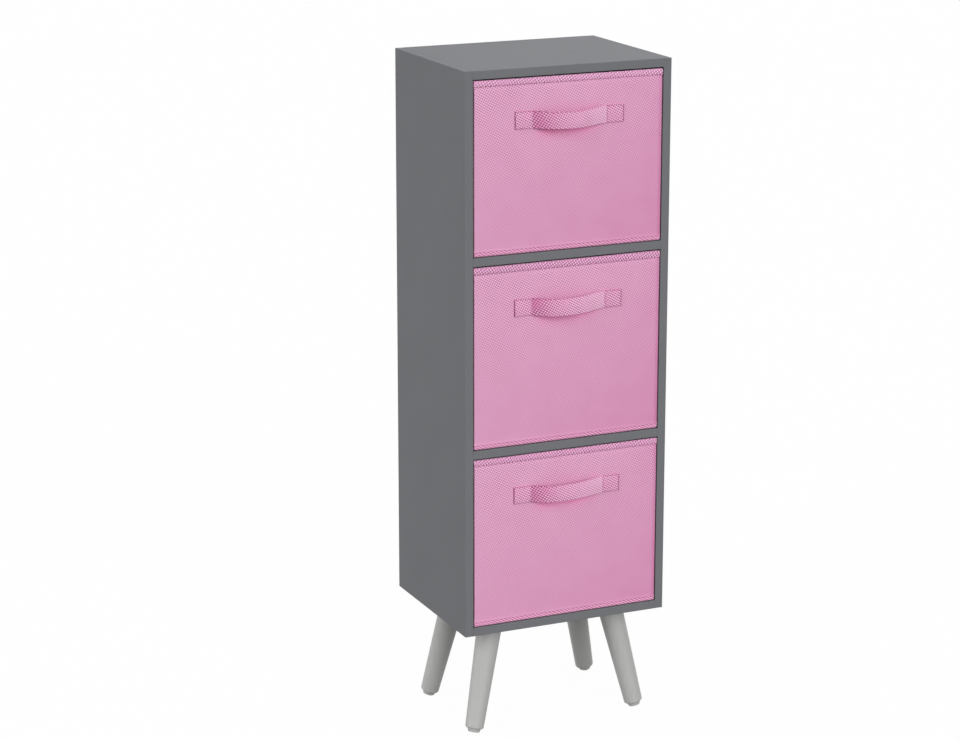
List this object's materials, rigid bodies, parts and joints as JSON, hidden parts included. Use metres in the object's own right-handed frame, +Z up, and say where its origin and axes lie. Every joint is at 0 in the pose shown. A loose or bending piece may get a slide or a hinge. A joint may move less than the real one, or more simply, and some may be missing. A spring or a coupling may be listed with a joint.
{
  "type": "cube storage unit with drawers",
  "caption": "Narrow upright storage cabinet with stacked square compartments on splayed tapered legs, holding pull-out fabric drawers with strap handles.",
  "frame": {"origin": "on the floor, in the middle of the whole unit, strap handles included", "axes": "+Z up, the drawers face -Y, +X to the right as seen from the front"},
  "size_m": [0.309, 0.2562, 0.95],
  "materials": {
    "grey_board": "satin grey melamine foil on chipboard",
    "back_hardboard": "matt grey lacquered hardboard",
    "leg_paint": "satin pale grey paint on turned wood",
    "glide_plastic": "moulded grey nylon",
    "zinc_steel": "bright zinc plate",
    "dowel_beech": "bare beech",
    "drawer_fabric": "pink embossed cloth",
    "binding_fabric": "pink folded cloth tape",
    "strap_webbing": "pink woven strap",
    "lining_fabric": "pink cloth",
    "stiffener_card": "grey-brown pressed card"
  },
  "bodies": {
    "cabinet": {"back_panel": "back_hardboard", "back_panel_pins": "zinc_steel", "bottom_panel": "grey_board", "cam_bolts": "zinc_steel", "cam_locks": "zinc_steel", "front_left_foot_glide": "glide_plastic", "front_left_leg": "leg_paint", "front_left_leg_plate": "zinc_steel", "front_right_foot_glide": "glide_plastic", "front_right_leg": "leg_paint", "front_right_leg_plate": "zinc_steel", "left_side_panel": "grey_board", "leg_hanger_bolts": "zinc_steel", "leg_plate_screws": "zinc_steel", "lower_shelf": "grey_board", "rear_left_foot_glide": "glide_plastic", "rear_left_leg": "leg_paint", "rear_left_leg_plate": "zinc_steel", "rear_right_foot_glide": "glide_plastic", "rear_right_leg": "leg_paint", "rear_right_leg_plate": "zinc_steel", "right_side_panel": "grey_board", "top_panel": "grey_board", "upper_shelf": "grey_board", "wooden_dowels": "dowel_beech"},
    "bottom_drawer": {"bottom_drawer_back_board": "stiffener_card", "bottom_drawer_base_board": "lining_fabric", "bottom_drawer_fabric_cover": "drawer_fabric", "bottom_drawer_front_board": "stiffener_card", "bottom_drawer_left_board": "stiffener_card", "bottom_drawer_lining": "lining_fabric", "bottom_drawer_right_board": "stiffener_card", "bottom_drawer_rim_binding": "binding_fabric", "bottom_drawer_strap_handle": "strap_webbing"},
    "middle_drawer": {"middle_drawer_back_board": "stiffener_card", "middle_drawer_base_board": "lining_fabric", "middle_drawer_fabric_cover": "drawer_fabric", "middle_drawer_front_board": "stiffener_card", "middle_drawer_left_board": "stiffener_card", "middle_drawer_lining": "lining_fabric", "middle_drawer_right_board": "stiffener_card", "middle_drawer_rim_binding": "binding_fabric", "middle_drawer_strap_handle": "strap_webbing"},
    "top_drawer": {"top_drawer_back_board": "stiffener_card", "top_drawer_base_board": "lining_fabric", "top_drawer_fabric_cover": "drawer_fabric", "top_drawer_front_board": "stiffener_card", "top_drawer_left_board": "stiffener_card", "top_drawer_lining": "lining_fabric", "top_drawer_right_board": "stiffener_card", "top_drawer_rim_binding": "binding_fabric", "top_drawer_strap_handle": "strap_webbing"}
  },
  "joints": [
    {"name": "bottom_drawer_slide", "type": "slide", "parent": "cabinet", "child": "bottom_drawer", "axis": [0, -1, 0], "range_m": [0, 0.235]},
    {"name": "middle_drawer_slide", "type": "slide", "parent": "cabinet", "child": "middle_drawer", "axis": [0, -1, 0], "range_m": [0, 0.235]},
    {"name": "top_drawer_slide", "type": "slide", "parent": "cabinet", "child": "top_drawer", "axis": [0, -1, 0], "range_m": [0, 0.235]}
  ]
}
